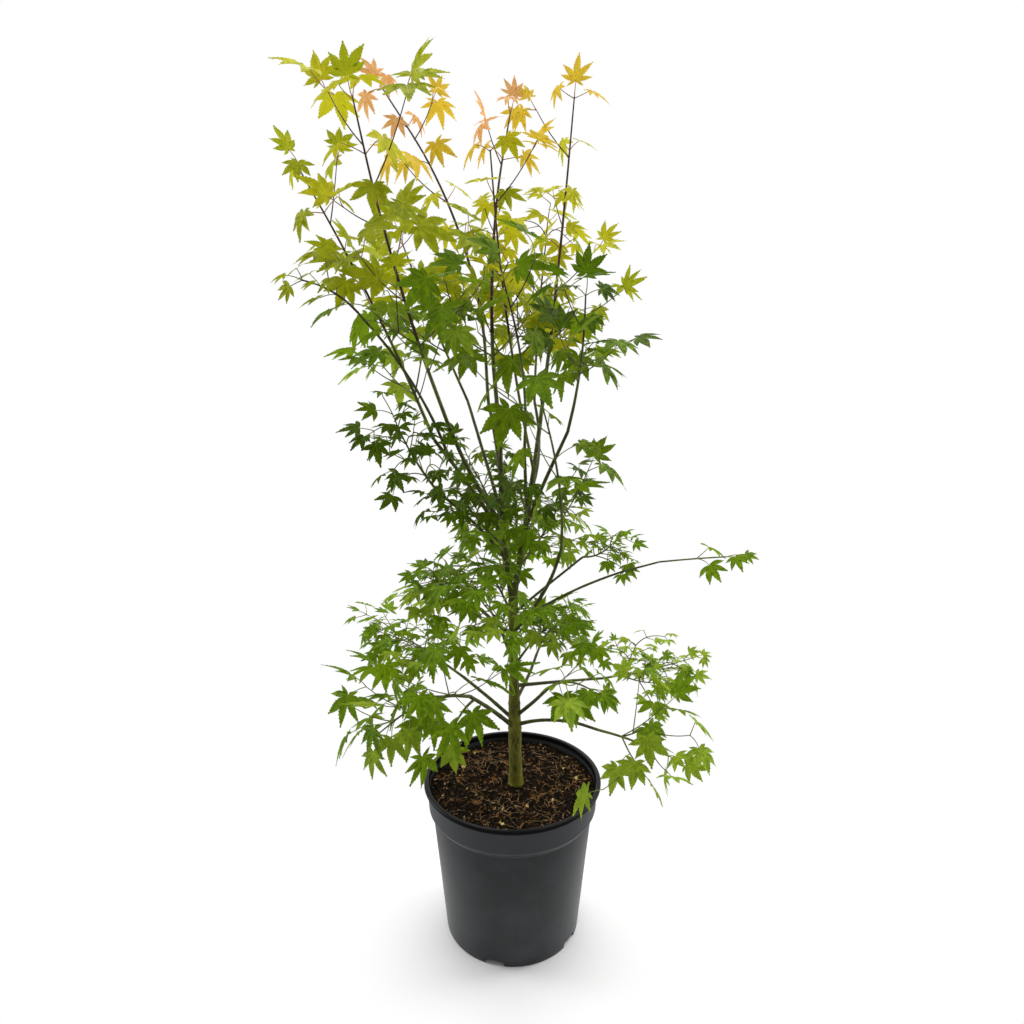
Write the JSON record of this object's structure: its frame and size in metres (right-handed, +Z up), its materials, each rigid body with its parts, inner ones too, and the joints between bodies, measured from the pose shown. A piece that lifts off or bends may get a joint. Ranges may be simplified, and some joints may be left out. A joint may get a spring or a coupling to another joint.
{
  "type": "potted maple",
  "caption": "Young upright Japanese maple with hand-shaped leaves, growing in a round black nursery pot full of bark compost.",
  "frame": {"origin": "on the floor, at the middle of the flat pad under the pot", "axes": "+Z up, front of the plant towards -Y, the long bare side branch towards +X"},
  "size_m": [0.5094, 0.3412, 1.0036],
  "materials": {
    "pot_plastic": "satin black moulded polypropylene",
    "potting_soil": "rough bark and peat compost",
    "trunk_bark": "thin olive green bark, matt",
    "bough_bark": "smooth green-brown bark, dull",
    "leaves": "thin soft leaf, dull"
  },
  "bodies": {
    "root": {"pot": "pot_plastic", "soil": "potting_soil", "trunk": "trunk_bark", "leader_left": "bough_bark", "leader_right": "bough_bark", "bough_left": "bough_bark", "bough_outer_left": "bough_bark", "bough_spray_left": "bough_bark", "bough_side_left": "bough_bark", "bough_rear_left": "bough_bark", "bough_inner_left": "bough_bark", "bough_right": "bough_bark", "bough_front_right": "bough_bark", "bough_fan_right": "bough_bark", "bough_long_right": "bough_bark", "bough_low_right": "bough_bark", "bough_low_front": "bough_bark", "bough_flat_right": "bough_bark", "bough_low_left": "bough_bark", "bough_low_rear_left": "bough_bark", "bough_mid_left": "bough_bark", "bough_mid_rear": "bough_bark", "bough_low_rear": "bough_bark", "bough_mid_front": "bough_bark", "bough_upper_front": "bough_bark", "bough_upper_rear": "bough_bark", "foliage_outer_left": "leaves", "foliage_left": "leaves", "foliage_rear_left": "leaves", "foliage_inner_left": "leaves", "foliage_centre": "leaves", "foliage_right": "leaves", "foliage_outer_right": "leaves", "foliage_upper_front": "leaves", "foliage_upper_rear": "leaves", "foliage_front_right": "leaves", "foliage_fan_right": "leaves", "foliage_long_right": "leaves", "foliage_low_right": "leaves", "foliage_low_front": "leaves", "foliage_flat_right": "leaves", "foliage_low_left": "leaves", "foliage_low_rear_left": "leaves", "foliage_mid_left": "leaves", "foliage_mid_rear": "leaves", "foliage_low_rear": "leaves", "foliage_mid_front": "leaves", "foliage_upper_centre": "leaves", "foliage_spray_left": "leaves", "foliage_side_left": "leaves", "foliage_stem_left": "leaves", "foliage_stem_rear": "leaves", "foliage_stem_right": "leaves", "foliage_stem_front": "leaves", "foliage_trunk_rear": "leaves", "foliage_trunk_right": "leaves", "foliage_low_hanging": "leaves"}
  },
  "joints": []
}
